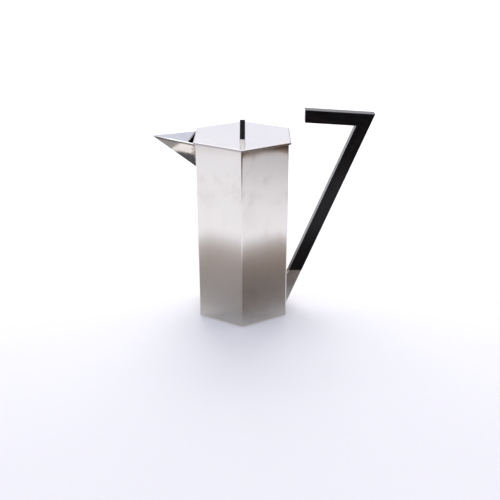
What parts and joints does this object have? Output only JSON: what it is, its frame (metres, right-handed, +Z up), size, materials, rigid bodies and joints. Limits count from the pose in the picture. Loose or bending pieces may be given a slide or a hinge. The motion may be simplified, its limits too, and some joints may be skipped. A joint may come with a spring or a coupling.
{
  "type": "coffee pot",
  "caption": "Six-sided silver coffee pot with an open triangular spout, a flat lift-off lid with a black triangular knob, and a black angular handle shaped like a seven.",
  "frame": {"origin": "centre of the base, on the table", "axes": "+Z up, +X towards the handle, -X towards the spout, Y across the pot"},
  "size_m": [0.2186, 0.109, 0.2142],
  "materials": {
    "silver": "polished silver sheet with fine hairlines",
    "silver_lid": "satin polished silver",
    "silver_inner": "unpolished silver",
    "black": "polished black ebony, close grained",
    "fixing": "plain silver pins and screws"
  },
  "bodies": {
    "pot": {"body_shell": "silver", "base_plate": "silver_inner", "spout": "silver", "handle_socket": "silver", "socket_pins": "fixing", "handle_stem": "black", "handle_grip": "black", "handle_tongue": "black"},
    "lid": {"lid_plate": "silver_lid", "lid_bezel": "silver_inner", "finial": "black", "finial_screws": "fixing", "finial_washers": "fixing"}
  },
  "joints": [
    {"name": "lid_lift", "type": "slide", "parent": "pot", "child": "lid", "axis": [0, 0, 1], "range_m": [0, 0.06]}
  ]
}
